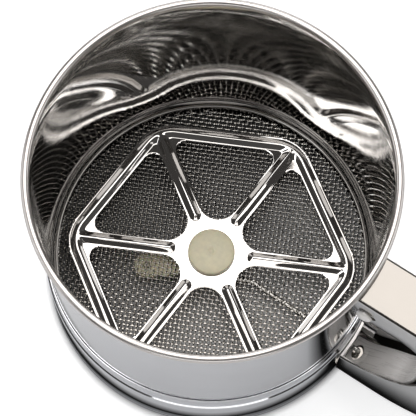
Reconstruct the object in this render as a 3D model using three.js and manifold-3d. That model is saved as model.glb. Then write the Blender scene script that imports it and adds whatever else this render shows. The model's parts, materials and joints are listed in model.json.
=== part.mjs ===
// Squeeze-handle flour sifter: a straight steel cup with a woven sieve near its foot, a hexagonal
// agitator wheel that sweeps the sieve, and a trigger in the handle that turns the wheel through a
// wire link and a crank. Millimetres, +Z up, the handle along +X. Every piece is drawn around the
// cup's axis, with z = 0 on the plane the cup stands on.
import * as THREE from "three";
import { mergeVertices } from "three/addons/utils/BufferGeometryUtils.js";
import Module from "manifold-3d";

// ---- Driving dimensions ----
const GAP = 0.3; // clearance between neighbours
const PLAY = 0.1; // clearance between round pieces whose facets line up
const ROUND = 60; // facets around the cup
const SMALL_ROUND = 16; // and around pins, washers and bores

const HEIGHT = 88; // foot to the top of the rim
const SHEET = 0.4; // sheet steel of the cup
const CUP_OUTER = 49.25;
const CUP_INNER = CUP_OUTER - SHEET;
const CUP_LOWER_END = 7.2;
const RIM = { radius: 50, bead: 1.2 }; // centreline of the rolled rim, and its section

const SLEEVE_TOP = 27.5; // the base ring starts here, as a sleeve around the cup
const SHOULDER = { top: 20.4, step: 0.75 }; // and flares here
const FOOT_BEAD = 1; // section radius of the rolled foot
const FOOT_OUTER = CUP_OUTER + PLAY + SHOULDER.step + SHEET + GAP;

const LEDGE_TOP = 13.9; // flat top of the ring that clamps the sieve
const SIEVE = { bottom: 8.3, top: 8.8, radius: 48, hole: 3.6 };
const BUSH_RADIUS = 5.5;

const WHEEL = { bottom: 9.9, sheet: 0.6, rib: 1.3, apothem: 40, corner: 12, band: 4.7 };
const WHEEL_TURN = THREE.MathUtils.degToRad(26); // first spoke, from the handle
const SPOKES = 6;
const CAP_RADIUS = 7.2;
const SPINDLE = { radius: 1.8, bottom: 4.4, top: 11.9 };
const NUT = { spindle: 3.4, pin: 2.8 }; // outer radii

const CRANK = { throw: 20.2, bottom: 5.6, top: 7.2, hub: 5.4, boss: 3.8 };
const CRANK_TURN = THREE.MathUtils.degToRad(-138); // at rest, from the handle
const LINK = { radius: 0.8, height: 4.2, hookHeight: 5.6, kneeX: 14.5, kneeY: 0.6 };

const HANDLE_HALF = 7.3; // half the width of the handle's channel
const HANDLE_SHEET = 0.8;
const HANDLE_BACK = { top: 84, bottom: 0.4, right: 92, topRadius: 20, bottomRadius: 28 };
const HANDLE_LIP = { top: 71.2, bottom: 15, right: 75.5, topRadius: 12, bottomRadius: 30.1 };

const PIVOT = { x: 53.5, z: 76.5, radius: 1.5 };
const TRIGGER = { half: 4.8, sheet: 0.9, grip: 73.2, armTop: 79 };
const HOOK = { x: 53.8, z: 2.9 }; // where the link hooks into the trigger

// ---- Solids ----
const wasm = await Module();
wasm.setup();

function solid(geometry) {
  const bare = geometry.clone();
  bare.deleteAttribute("normal");
  bare.deleteAttribute("uv");
  const merged = mergeVertices(bare, 1e-4);
  return new wasm.Manifold(
    new wasm.Mesh({
      numProp: 3,
      vertProperties: merged.attributes.position.array,
      triVerts: new Uint32Array(merged.index.array),
    }),
  );
}

function geometryOf(manifold) {
  const mesh = manifold.getMesh();
  const geometry = new THREE.BufferGeometry();
  geometry.setAttribute("position", new THREE.BufferAttribute(mesh.vertProperties, 3));
  geometry.setIndex(new THREE.BufferAttribute(mesh.triVerts, 1));
  return geometry;
}

const join = (first, ...rest) =>
  geometryOf(rest.reduce((all, next) => all.add(solid(next)), solid(first)));
const cut = (first, ...tools) =>
  geometryOf(tools.reduce((left, tool) => left.subtract(solid(tool)), solid(first)));
const overlap = (first, second) => geometryOf(solid(first).intersect(solid(second)));

// ---- Shared shapes ----
const vec = (x, y) => new THREE.Vector2(x, y);
const vec3 = (x, y, z) => new THREE.Vector3(x, y, z);

// Points along an arc of an outline, both ends included; angles in degrees.
function arc(cx, cy, radius, from, to, steps = 6) {
  return Array.from({ length: steps + 1 }, (_, i) => {
    const angle = THREE.MathUtils.degToRad(from + ((to - from) * i) / steps);
    return vec(cx + radius * Math.cos(angle), cy + radius * Math.sin(angle));
  });
}

// Turns a (radius, height) outline around Z. An outline that starts on the axis ends on it; any
// other closes on itself.
function turned(outline, facets = ROUND) {
  const points = THREE.ShapeUtils.area(outline) > 0 ? [...outline] : [...outline].reverse();
  if (points[0].x > 0) points.push(points[0]);
  return new THREE.LatheGeometry(points, facets).rotateX(Math.PI / 2);
}

const ring = (inner, outer, bottom, top, facets = SMALL_ROUND) =>
  turned([vec(inner, bottom), vec(outer, bottom), vec(outer, top), vec(inner, top)], facets);
const rod = (radius, bottom, top, facets = SMALL_ROUND) =>
  turned([vec(0, bottom), vec(radius, bottom), vec(radius, top), vec(0, top)], facets);

function box(x, y, z) {
  const size = [x, y, z].map(([from, to]) => to - from);
  const centre = [x, y, z].map(([from, to]) => (from + to) / 2);
  return new THREE.BoxGeometry(...size).translate(...centre);
}

// A flat shape in plan, lifted from bottom to top.
function slab(shape, bottom, top) {
  const settings = { depth: top - bottom, bevelEnabled: false, curveSegments: 4 };
  return new THREE.ExtrudeGeometry(shape, settings).translate(0, 0, bottom);
}

// A flat outline seen from the side, as (x, z) points, standing between two y planes.
function upright(outline, from, to) {
  const settings = { depth: to - from, bevelEnabled: false };
  return new THREE.ExtrudeGeometry(new THREE.Shape(outline), settings)
    .rotateX(Math.PI / 2)
    .translate(0, to, 0);
}

// A turned piece lying along Y on the trigger's pivot; its top points to -Y.
const onPivot = (piece) => piece.rotateX(Math.PI / 2).translate(PIVOT.x, 0, PIVOT.z);

// Straight pieces through the points, with each corner rounded off.
function bentPath(points, bend, Line, Curve) {
  const path = new THREE.CurvePath();
  let start = points[0];
  points.slice(1, -1).forEach((corner, i) => {
    const towards = (end) =>
      corner.clone().lerp(end, Math.min(0.5, bend / corner.distanceTo(end)));
    path.add(new Line(start, towards(points[i])));
    path.add(new Curve(towards(points[i]), corner, towards(points[i + 2])));
    start = towards(points[i + 2]);
  });
  path.add(new Line(start, points.at(-1)));
  return path;
}

// Round wire along a path; steps set how finely it follows the bends.
function wire(path, radius, steps, sides = 6) {
  const section = new THREE.Shape(arc(0, 0, radius, 0, 360, sides).slice(1));
  return new THREE.ExtrudeGeometry(section, { steps, extrudePath: path, bevelEnabled: false });
}

// A strip of sheet seen from the side, of even thickness along a centreline with rounded bends.
function stripOutline(points, bend, thickness) {
  const line = bentPath(points, bend, THREE.LineCurve, THREE.QuadraticBezierCurve).getPoints(5);
  const side = (offset) =>
    line.map((point, i) => {
      const along = line[Math.min(i + 1, line.length - 1)].clone().sub(line[Math.max(i - 1, 0)]);
      return point.clone().add(vec(-along.y, along.x).setLength(offset));
    });
  return [...side(thickness / 2), ...side(-thickness / 2).reverse()];
}

// ---- Cup ----
// A straight tube with a rolled rim on top and a hem turned in under the sieve's clamp ring.
function cupBody() {
  const hemWidth = 1.6;
  const hemInner = CUP_INNER - hemWidth;
  const beadHeight = HEIGHT - RIM.bead;
  const beadOverWall = Math.sqrt(RIM.bead ** 2 - (RIM.radius - CUP_OUTER) ** 2);
  return turned([
    vec(hemInner, CUP_LOWER_END),
    vec(CUP_OUTER, CUP_LOWER_END),
    vec(CUP_OUTER, beadHeight - beadOverWall),
    ...arc(RIM.radius, beadHeight, RIM.bead, -90, 180),
    vec(CUP_INNER, CUP_LOWER_END + SHEET),
    vec(hemInner, CUP_LOWER_END + SHEET),
  ]);
}

// A sleeve around the cup that flares at a shoulder and ends in a rolled foot. The link wire comes
// out through a slot above the foot.
function baseRing() {
  const sleeve = CUP_OUTER + PLAY;
  const skirt = sleeve + SHOULDER.step;
  const facet = 30; // degrees; the lowest facet is the flat the sifter stands on
  const footCentre = FOOT_BEAD * Math.cos(THREE.MathUtils.degToRad(facet / 2));
  const shell = turned([
    vec(skirt, SHOULDER.top - SHOULDER.step),
    vec(sleeve, SHOULDER.top),
    vec(sleeve, SLEEVE_TOP),
    vec(sleeve + SHEET, SLEEVE_TOP),
    vec(sleeve + SHEET, SHOULDER.top),
    vec(skirt + SHEET, SHOULDER.top - SHOULDER.step),
    ...arc(FOOT_OUTER - FOOT_BEAD, footCentre, FOOT_BEAD, 1.5 * facet, -8.5 * facet, 10),
  ]);
  const slot = { halfWidth: 3.2, halfHeight: 1.3, reach: 3 };
  const opening = box(
    [skirt - slot.reach, skirt + slot.reach],
    [-slot.halfWidth, slot.halfWidth],
    [LINK.height - slot.halfHeight, LINK.height + slot.halfHeight],
  );
  return cut(shell, opening);
}

// The ring that holds the sieve's edge: a ledge on top, a bead along its inner edge, and a groove
// below for the wire cloth.
function clampRing() {
  const outer = CUP_INNER - PLAY;
  const inner = 47.3;
  const ease = 0.3; // broken outer edge, and the bead's overhang at the inner edge
  const bead = 0.8;
  const groove = SIEVE.radius + 2 * PLAY;
  return turned([
    vec(inner, CUP_LOWER_END + SHEET + PLAY),
    vec(outer, CUP_LOWER_END + SHEET + PLAY),
    vec(outer, LEDGE_TOP - ease),
    vec(outer - ease, LEDGE_TOP),
    ...arc(inner - ease, LEDGE_TOP - bead, bead, 90, 292),
    vec(inner, SIEVE.top + PLAY),
    vec(groove, SIEVE.top + PLAY),
    vec(groove, SIEVE.bottom - PLAY),
    vec(inner, SIEVE.bottom - PLAY),
  ]);
}

const sieve = () => ring(SIEVE.hole, SIEVE.radius, SIEVE.bottom, SIEVE.top, ROUND);

// The two halves of the spindle's bearing grip the sieve between them; the lower one passes through.
const upperBush = () => ring(SIEVE.hole, BUSH_RADIUS, SIEVE.top + PLAY, WHEEL.bottom - GAP);

function lowerBush() {
  const bore = SPINDLE.radius + GAP;
  const neck = SIEVE.hole - GAP;
  const bottom = CRANK.top + GAP;
  const shoulder = SIEVE.bottom - PLAY;
  const top = WHEEL.bottom - GAP;
  const outline = [
    vec(bore, bottom),
    vec(BUSH_RADIUS, bottom),
    vec(BUSH_RADIUS, shoulder),
    vec(neck, shoulder),
    vec(neck, top),
    vec(bore, top),
  ];
  return turned(outline, SMALL_ROUND);
}

// ---- Agitator ----
// A regular hexagon with rounded corners, one of them on the first spoke.
function hexagon(apothem, corner, path) {
  const side = (2 * Math.PI) / SPOKES;
  const centre = (apothem - corner) / Math.cos(side / 2);
  for (let i = 0; i < SPOKES; i++) {
    const angle = WHEEL_TURN + i * side;
    const x = centre * Math.cos(angle);
    const y = centre * Math.sin(angle);
    path.absarc(x, y, corner, angle - side / 2, angle + side / 2, false);
  }
  path.closePath();
  return path;
}

// The opening between two spokes: a triangle with rounded corners, its nose towards the hub.
function wheelWindow(index) {
  const half = Math.PI / SPOKES; // between the opening's middle and a spoke
  const middle = WHEEL_TURN + (2 * index + 1) * half;
  const edge = WHEEL.band / 2;
  const nose = 6.3;
  const corner = 3.2;
  const far = WHEEL.apothem - WHEEL.band - corner;
  const spread = far * Math.tan(half) - (edge + corner) / Math.cos(half);
  const path = new THREE.Path();
  const round = (x, y, radius, from) => {
    const centre = vec(x, y).rotateAround(vec(0, 0), middle);
    const start = middle + THREE.MathUtils.degToRad(from);
    path.absarc(centre.x, centre.y, radius, start, start + (2 * Math.PI) / 3, false);
  };
  round(far, spread, corner, 0);
  round((nose + edge) / Math.sin(half), 0, nose, 120);
  round(far, -spread, corner, 240);
  path.closePath();
  return path;
}

// A pressed sheet wheel: a hexagonal rim band and six spokes, all with a raised rib.
function agitatorWheel() {
  const top = WHEEL.bottom + WHEEL.sheet;
  const crest = top + WHEEL.rib;
  const rib = { width: 2, edge: 1.4, sunk: 0.2, start: 10.5 };
  const ribOuter = WHEEL.apothem - rib.edge;

  const sheet = hexagon(WHEEL.apothem, WHEEL.corner, new THREE.Shape());
  sheet.holes = Array.from({ length: SPOKES }, (_, i) => wheelWindow(i));
  const rim = hexagon(ribOuter, WHEEL.corner - rib.edge, new THREE.Shape());
  rim.holes = [hexagon(ribOuter - rib.width, WHEEL.corner - rib.edge - rib.width, new THREE.Path())];
  const spokes = Array.from({ length: SPOKES }, (_, i) =>
    box([rib.start, WHEEL.apothem], [-rib.width / 2, rib.width / 2], [top - rib.sunk, crest]).rotateZ(
      WHEEL_TURN + (i * 2 * Math.PI) / SPOKES,
    ),
  );
  const wheel = join(slab(sheet, WHEEL.bottom, top), slab(rim, top - rib.sunk, crest), ...spokes);
  return cut(wheel, rod(SPINDLE.radius + GAP, WHEEL.bottom - 1, crest));
}

// A shallow domed cap, bored from below for the spindle.
function hubCap() {
  const bottom = WHEEL.bottom + WHEEL.sheet + GAP;
  const edge = 0.6;
  const wall = bottom + 1.7;
  const bore = SPINDLE.radius + GAP;
  return turned(
    [
      vec(0, SPINDLE.top + GAP),
      vec(bore, SPINDLE.top + GAP),
      vec(bore, bottom),
      vec(CAP_RADIUS, bottom),
      ...arc(CAP_RADIUS - edge, wall - edge, edge, 0, 75, 3),
      vec(CAP_RADIUS / 2, wall + 0.4),
      vec(0, wall + 0.5),
    ],
    24,
  );
}

// A flat nylon lever: a hub on the spindle and a boss that holds the link's end.
function crankArm() {
  const tangent = THREE.MathUtils.radToDeg(Math.acos((CRANK.hub - CRANK.boss) / CRANK.throw));
  const outline = new THREE.Shape([
    ...arc(0, 0, CRANK.hub, tangent, 360 - tangent, 16),
    ...arc(CRANK.throw, 0, CRANK.boss, -tangent, tangent, 12),
  ]);
  const hole = (x, radius) => new THREE.Path(arc(x, 0, radius, 0, 360, SMALL_ROUND).slice(1));
  outline.holes = [hole(0, SPINDLE.radius + GAP), hole(CRANK.throw, LINK.radius + GAP)];
  return slab(outline, CRANK.bottom, CRANK.top).rotateZ(CRANK_TURN);
}

const spindle = () => rod(SPINDLE.radius, SPINDLE.bottom, SPINDLE.top);
const spindleNut = () =>
  ring(SPINDLE.radius + GAP, NUT.spindle, SPINDLE.bottom + GAP, CRANK.bottom - GAP);

// Hooked into the crank's boss at one end and down through the trigger at the other, with a knee
// that keeps it clear of the spindle and a rise just outside the cup.
function linkWire() {
  const crankX = CRANK.throw * Math.cos(CRANK_TURN);
  const crankY = CRANK.throw * Math.sin(CRANK_TURN);
  const rise = LINK.hookHeight - LINK.height;
  const points = [
    vec3(crankX, crankY, CRANK.top + LINK.radius / 2),
    vec3(crankX, crankY, LINK.height),
    vec3(LINK.kneeX, LINK.kneeY, LINK.height),
    vec3(FOOT_OUTER, 0, LINK.height),
    vec3(FOOT_OUTER + rise, 0, LINK.hookHeight),
    vec3(HOOK.x, 0, LINK.hookHeight),
    vec3(HOOK.x, 0, HOOK.z - TRIGGER.sheet / 2 - LINK.radius),
  ];
  const bend = 1.2;
  const path = bentPath(points, bend, THREE.LineCurve3, THREE.QuadraticBezierCurve3);
  return wire(path, LINK.radius, 75);
}

// ---- Handle ----
// One edge of the handle's D-shaped loop, from the cup's rim round to its foot, moved in by inset.
function loop(edge, inset = 0) {
  const insideCup = 44;
  return [
    vec(insideCup, edge.top - inset),
    ...arc(edge.right - edge.topRadius, edge.top - edge.topRadius, edge.topRadius - inset, 90, 0, 8),
    ...arc(
      edge.right - edge.bottomRadius,
      edge.bottom + edge.bottomRadius,
      edge.bottomRadius - inset,
      0,
      -90,
      10,
    ),
    vec(insideCup, edge.bottom + inset),
  ];
}

// Room for the cup and the foot, cut out of whatever is fixed to them.
const cupRoom = () => rod(CUP_OUTER + GAP, SLEEVE_TOP, HEIGHT, ROUND);
const footRoom = () => rod(FOOT_OUTER + GAP, -1, SLEEVE_TOP + GAP, ROUND);

// A channel bent into a closed loop, open towards the cup, with a short slot in each side for the
// trigger's pivot pin.
function handle() {
  const inner = HANDLE_HALF - HANDLE_SHEET;
  const web = [...loop(HANDLE_BACK), ...loop(HANDLE_BACK, HANDLE_SHEET).reverse()];
  const side = [...loop(HANDLE_BACK), ...loop(HANDLE_LIP).reverse()];
  const channel = join(
    upright(web, -HANDLE_HALF, HANDLE_HALF),
    upright(side, -HANDLE_HALF, -inner),
    upright(side, inner, HANDLE_HALF),
  );
  const slotRadius = PIVOT.radius + GAP;
  const slotRun = 1.4;
  const slot = [
    ...arc(PIVOT.x, PIVOT.z, slotRadius, 90, 270),
    ...arc(PIVOT.x + slotRun, PIVOT.z, slotRadius, -90, 90),
  ];
  const slots = upright(slot, -HANDLE_HALF - GAP, HANDLE_HALF + GAP);
  return cut(channel, slots, cupRoom(), footRoom());
}

// A saddle that ties the handle to a round wall: a curved plate on the wall and two ears against
// the insides of the channel.
function saddle(wallRadius, plateZ, earZ, earReach) {
  const inner = wallRadius + GAP;
  const outer = inner + HANDLE_SHEET;
  const half = HANDLE_HALF - HANDLE_SHEET - GAP;
  const ear = 0.7;
  const reach = [wallRadius - GAP, wallRadius + earReach];
  const plate = overlap(ring(inner, outer, ...plateZ, ROUND), box([0, outer], [-half, half], plateZ));
  const leftEar = box(reach, [half - ear, half], earZ);
  const rightEar = box(reach, [-half, ear - half], earZ);
  return cut(join(plate, leftEar, rightEar), rod(inner, plateZ[0] - GAP, plateZ[1] + GAP, ROUND));
}

const topSaddle = () => saddle(CUP_OUTER, [72.5, 82.9], [80.6, 82.9], 9);
const footSaddle = () => saddle(FOOT_OUTER - GAP, [6.9, 14], [6.9, 12], 5);

// ---- Trigger ----
// A bent strap: a short arm under the handle's top, a straight grip, and a foot that slopes down to
// the link. Two cheeks beside the arm hold the pivot.
function trigger() {
  const armZ = TRIGGER.armTop - TRIGGER.sheet / 2;
  const centreline = [
    vec(58, armZ),
    vec(TRIGGER.grip, armZ),
    vec(TRIGGER.grip, 30),
    vec(70.8, 19.5),
    vec(65.3, 14.6),
    vec(55.8, HOOK.z + 0.2),
    vec(51.5, HOOK.z - 0.7),
  ];
  const strap = upright(stripOutline(centreline, 5, TRIGGER.sheet), -TRIGGER.half, TRIGGER.half);
  const cheek = [
    ...arc(PIVOT.x, PIVOT.z, TRIGGER.armTop - PIVOT.z, 90, 270, 8),
    vec(60, 73.4),
    vec(TRIGGER.grip, 58),
    vec(TRIGGER.grip, armZ - 2),
    vec(TRIGGER.grip - 2, armZ),
    vec(TRIGGER.grip - 4, TRIGGER.armTop),
  ];
  const cheekSheet = 0.8;
  const inner = TRIGGER.half - cheekSheet;
  const body = join(
    strap,
    upright(cheek, -TRIGGER.half, -inner),
    upright(cheek, inner, TRIGGER.half),
  );
  const bore = onPivot(rod(PIVOT.radius + GAP, -HANDLE_HALF, HANDLE_HALF));
  const hole = { halfLength: 1.6, halfWidth: 2.6, depth: 2 };
  const hookHole = box(
    [HOOK.x - hole.halfLength, HOOK.x + hole.halfLength],
    [-hole.halfWidth, hole.halfWidth],
    [HOOK.z - hole.depth, HOOK.z + hole.depth],
  );
  return cut(body, bore, hookHole);
}

// A round-headed pin through the slots; its head is on the handle's -Y side.
function pivotPin() {
  const face = HANDLE_HALF + GAP;
  const tail = 1.4;
  const head = { radius: 2.3, rim: 0.6, shoulder: 1.2, crown: 1.4 };
  const outline = [
    vec(0, -face - tail),
    vec(PIVOT.radius, -face - tail),
    vec(PIVOT.radius, face),
    vec(head.radius, face),
    vec(head.radius, face + head.rim),
    vec(0.7 * head.radius, face + head.shoulder),
    vec(0, face + head.crown),
  ];
  return onPivot(turned(outline, SMALL_ROUND));
}

function pinNut() {
  const face = HANDLE_HALF + GAP;
  const thickness = 0.8;
  return onPivot(ring(PIVOT.radius + GAP, NUT.pin, -face - thickness, -face));
}

// A washer between the trigger's cheek and the handle's side; side is 1 for +Y and -1 for -Y.
function pivotWasher(side) {
  const from = TRIGGER.half + GAP;
  const to = HANDLE_HALF - HANDLE_SHEET - GAP;
  const outer = 3.3;
  const washer = onPivot(ring(PIVOT.radius + GAP, outer, from, to));
  return side < 0 ? washer : washer.translate(0, from + to, 0);
}

// A torsion spring round the pin. One leg bears up on the handle, the other down on the trigger.
function returnSpring() {
  const coil = { radius: 2.4, halfWidth: 2.9, turns: 3.75, wire: 0.4 };
  const perTurn = 12;
  const count = coil.turns * perTurn;
  const legTop = HANDLE_BACK.top - HANDLE_SHEET - coil.wire - GAP;
  const legHeight = TRIGGER.armTop + coil.wire + GAP;
  const points = [vec3(PIVOT.x + coil.radius, -coil.halfWidth, legTop)];
  for (let i = 0; i <= count; i++) {
    const angle = (-2 * Math.PI * i) / perTurn;
    const x = PIVOT.x + coil.radius * Math.cos(angle);
    const y = coil.halfWidth * ((2 * i) / count - 1);
    points.push(vec3(x, y, PIVOT.z + coil.radius * Math.sin(angle)));
  }
  const leg = [8, 14]; // where the lower leg settles on the trigger's arm, and where it ends
  leg.forEach((along) => points.push(vec3(PIVOT.x + along, coil.halfWidth, legHeight)));
  return wire(new THREE.CatmullRomCurve3(points), coil.wire, 64, 5);
}

// ---- The sifter ----
const steel = (colour, roughness) =>
  new THREE.MeshStandardMaterial({ color: colour, roughness, metalness: 1 });
const nylon = () => new THREE.MeshStandardMaterial({ color: 0xcfc5a8, roughness: 0.45, metalness: 0 });
const POLISHED = [0xc9c7c5, 0.08];
const SATIN = [0xb9bcc1, 0.28];
const PLAIN = [0xa9a7a3, 0.35];

const sifter = new THREE.Group();
sifter.position.x = (RIM.radius + RIM.bead - HANDLE_BACK.right) / 2; // its middle, handle included
function add(name, geometry, material) {
  const mesh = new THREE.Mesh(geometry, material);
  mesh.name = name;
  sifter.add(mesh);
}

add("cup_body", cupBody(), steel(...SATIN));
add("base_ring", baseRing(), steel(...SATIN));
add("sieve_clamp_ring", clampRing(), steel(...POLISHED));
add("sieve_mesh", sieve(), steel(...PLAIN));
add("upper_bush", upperBush(), nylon());
add("lower_bush", lowerBush(), nylon());

add("handle", handle(), steel(...POLISHED));
add("handle_top_saddle", topSaddle(), steel(...PLAIN));
add("handle_foot_saddle", footSaddle(), steel(...PLAIN));
add("pivot_pin", pivotPin(), steel(...POLISHED));
add("pivot_pin_nut", pinNut(), steel(...PLAIN));
add("pivot_washer_left", pivotWasher(1), nylon());
add("pivot_washer_right", pivotWasher(-1), nylon());

add("trigger", trigger(), steel(...POLISHED));
add("return_spring", returnSpring(), steel(...PLAIN));

add("agitator_wheel", agitatorWheel(), steel(...POLISHED));
add("hub_cap", hubCap(), nylon());
add("spindle", spindle(), steel(...PLAIN));
add("crank_arm", crankArm(), nylon());
add("spindle_nut", spindleNut(), steel(...PLAIN));
add("link_wire", linkWire(), steel(...POLISHED));

export default sifter;
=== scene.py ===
"""Looks of a squeeze-handle flour sifter: polished steel cup, woven sieve, pressed agitator wheel,
nylon hub and a channel handle with a trigger. Lengths are in millimetres around the cup's axis until
a mesh is made; the row frame is in metres."""

import json
import math

import bpy
import numpy as np
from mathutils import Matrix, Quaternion, Vector


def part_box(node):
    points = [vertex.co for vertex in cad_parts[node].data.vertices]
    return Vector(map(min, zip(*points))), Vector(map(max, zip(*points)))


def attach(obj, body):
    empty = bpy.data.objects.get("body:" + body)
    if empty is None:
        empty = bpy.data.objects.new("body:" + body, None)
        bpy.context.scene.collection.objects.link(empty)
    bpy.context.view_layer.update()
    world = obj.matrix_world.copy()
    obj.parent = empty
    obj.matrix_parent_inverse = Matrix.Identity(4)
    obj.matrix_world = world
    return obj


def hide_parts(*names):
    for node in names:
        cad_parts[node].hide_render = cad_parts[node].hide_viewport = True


MM = 0.001
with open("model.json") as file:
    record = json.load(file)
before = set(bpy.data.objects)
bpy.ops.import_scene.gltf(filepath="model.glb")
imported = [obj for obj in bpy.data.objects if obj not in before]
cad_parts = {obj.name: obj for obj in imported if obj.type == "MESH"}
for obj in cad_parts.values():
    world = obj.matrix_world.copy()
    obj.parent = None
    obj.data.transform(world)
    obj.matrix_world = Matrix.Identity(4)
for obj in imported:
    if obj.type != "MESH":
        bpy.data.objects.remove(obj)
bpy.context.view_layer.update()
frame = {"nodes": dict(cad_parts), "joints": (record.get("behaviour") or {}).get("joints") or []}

cup_low, cup_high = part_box("cup_body")
AXIS = np.array([(cup_low[0] + cup_high[0]) / 2, 0.0, 0.0])  # foot of the cup's axis, in metres


def around_axis(place):
    """A place of the row frame in millimetres around the cup's axis."""
    return (np.array(place) - AXIS) / MM


def box_mm(node):
    """Lowest and highest corner of a CAD node in millimetres around the cup's axis."""
    low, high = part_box(node)
    return around_axis(low), around_axis(high)


def joint_mm(name):
    """The place of a joint in millimetres around the cup's axis."""
    return around_axis(next(joint["pos_m"] for joint in frame["joints"] if joint["name"] == name))


# ---- Sizes, in millimetres ----
GAP = 0.3  # clearance between neighbours
PLAY = 0.1  # clearance between rings that fit into each other

RIM_OUTER, _, RIM_TOP = box_mm("cup_body")[1]
RIM_BEAD = 1.2  # section radius of the rolled rim
RIM_CENTRE = RIM_OUTER - RIM_BEAD
RIM_OVERHANG = 0.75  # of the bead's centre over the wall's outside
SHEET = 0.4
CUP_BOTTOM = box_mm("cup_body")[0][2]
CUP_OUTER = RIM_CENTRE - RIM_OVERHANG
CUP_INNER = CUP_OUTER - SHEET

FOOT_OUTER, _, SLEEVE_TOP = box_mm("base_ring")[1]
FOOT_BEAD = 1.0  # section radius of the rolled foot
SHOULDER_TOP = 20.4
SHOULDER_STEP = 0.75

LEDGE_TOP = box_mm("sieve_clamp_ring")[1][2]
LEDGE_INNER = 47.3
SIEVE_LOW, SIEVE_HIGH = (corner[2] for corner in box_mm("sieve_mesh"))

WIRE_PITCH = 1.29
WIRE_RADIUS = 0.205
WIRE_SIDES = 5
CLOTH_HOLE = 4.2  # radius of the cloth's hole, inside the bushes

WHEEL_LOW = box_mm("agitator_wheel")[0][2]
WHEEL_APOTHEM = 40.0
WHEEL_CORNER = 12.0
WHEEL_BAND = 4.7  # width of the rim and of the spokes
WHEEL_BORE = 1.9
SIXTH = math.pi / 3  # from one spoke to the next

HANDLE_LOW, HANDLE_HIGH = box_mm("handle")
HANDLE_HALF = HANDLE_HIGH[1]
HANDLE_SHEET = 0.8
HANDLE_START = CUP_OUTER + GAP

PIVOT_X, _, PIVOT_Z = joint_mm("trigger_squeeze")
PIVOT_BORE = 1.8
TRIGGER_HIGH = box_mm("trigger")[1]
TRIGGER_HALF = TRIGGER_HIGH[1]
TRIGGER_SHEET = 0.9
TRIGGER_GRIP = TRIGGER_HIGH[0] - TRIGGER_SHEET / 2
TRIGGER_ARM = TRIGGER_HIGH[2] - TRIGGER_SHEET / 2
HOOK_X, HOOK_Z = 53.8, 2.9  # where the link hooks into the trigger

SHARP = math.radians(40)  # edges sharper than this stay sharp
HAIR = 0.01  # radius of the bore that a solid turned around its axis keeps


# ---- Meshes: a shape is a pair of points and faces ----
def add_object(name, data):
    """A new object in the scene."""
    thing = bpy.data.objects.new(name, data)
    bpy.context.scene.collection.objects.link(thing)
    return thing


def new_mesh(name, shape):
    """A shape as a mesh in the row frame."""
    points, faces = shape
    mesh = bpy.data.meshes.new(name)
    mesh.from_pydata((points * MM + AXIS).tolist(), [], faces)
    return mesh


def add_piece(name, shape, body, material, replaced=None, normals=None):
    """A smooth piece that rides on a body and stands for the replaced CAD node."""
    mesh = new_mesh(name, shape)
    mesh.validate()
    mesh.polygons.foreach_set("use_smooth", [True] * len(mesh.polygons))
    if normals is None:
        mesh.set_sharp_from_angle(angle=SHARP)
    else:
        mesh.normals_split_custom_set_from_vertices(normals)
    mesh.materials.append(material)
    piece = add_object(name, mesh)
    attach(piece, body)
    if replaced:
        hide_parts(replaced)
    return piece


def cut_away(piece, shape):
    """Cuts a closed shape out of a piece."""
    tool = add_object("tool", new_mesh("tool", shape))
    modifier = piece.modifiers.new("cut", "BOOLEAN")
    modifier.object = tool
    modifier.solver = "EXACT"
    bpy.context.view_layer.update()
    evaluated = piece.evaluated_get(bpy.context.evaluated_depsgraph_get())
    result = bpy.data.meshes.new_from_object(evaluated)
    piece.modifiers.clear()
    piece.data = result
    bpy.data.objects.remove(tool)


def bevel(piece, width):
    """Softens a piece's sharp edges."""
    modifier = piece.modifiers.new("soft_edges", "BEVEL")
    modifier.width = width * MM
    modifier.segments = 2
    modifier.limit_method = "ANGLE"
    modifier.angle_limit = SHARP
    modifier.harden_normals = True


def arc(x, z, radius, start, end, steps=12):
    """Points on an arc of an outline, angles in degrees, both ends included."""
    angles = np.radians(np.linspace(start, end, steps + 1))
    return [(x + radius * math.cos(a), z + radius * math.sin(a)) for a in angles]


def facing_out(points, faces):
    """A shape with all its faces turned round if they point inwards."""
    first, second, third = (points[[face[i] for face in faces]] for i in range(3))
    if np.einsum("ij,ij->", first, np.cross(second, third)) < 0:
        faces = [tuple(reversed(face)) for face in faces]
    return points, faces


def grid_faces(rows, columns, wrap_rows):
    """Four-sided faces of a grid of points whose columns close into rings."""
    row = np.arange(rows if wrap_rows else rows - 1)[:, None]
    column = np.arange(columns)
    here, after = row * columns, (row + 1) % rows * columns
    beside = (column + 1) % columns
    corners = [here + column, after + column, after + beside, here + beside]
    return np.stack(corners, axis=-1).reshape(-1, 4).tolist()


def skinned(rings):
    """A closed shape over a row of rings of points, with a flat face at each end."""
    columns = len(rings[0])
    points = np.array(rings).reshape(-1, 3)
    faces = grid_faces(len(rings), columns, False)
    faces.append(list(range(columns)))
    faces.append(list(reversed(range(len(points) - columns, len(points)))))
    return facing_out(points, faces)


def turned(outline, facets=256):
    """A closed (radius, height) outline turned around the cup's axis."""
    radius, height = np.array(outline, float).T
    angles = 2 * math.pi * np.arange(facets)[:, None] / facets
    x, y, z = np.broadcast_arrays(np.cos(angles) * radius, np.sin(angles) * radius, height)
    points = np.stack([x, y, z], axis=-1).reshape(-1, 3)
    return facing_out(points, grid_faces(facets, len(outline), True))


def prism(outline, low, high, axis):
    """A flat outline pushed along one axis."""
    count = len(outline)
    points = []
    for level in (low, high):
        for a, b in outline:
            points.append({"x": (level, a, b), "y": (a, level, b), "z": (a, b, level)}[axis])
    faces = [(i, (i + 1) % count, (i + 1) % count + count, i + count) for i in range(count)]
    faces.append(tuple(reversed(range(count))))
    faces.append(tuple(range(count, 2 * count)))
    return facing_out(np.array(points), faces)


def directions(path):
    """Unit vectors along a path, one for each of its points."""
    along = np.gradient(path, axis=0)
    return along / np.linalg.norm(along, axis=1)[:, None]


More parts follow.
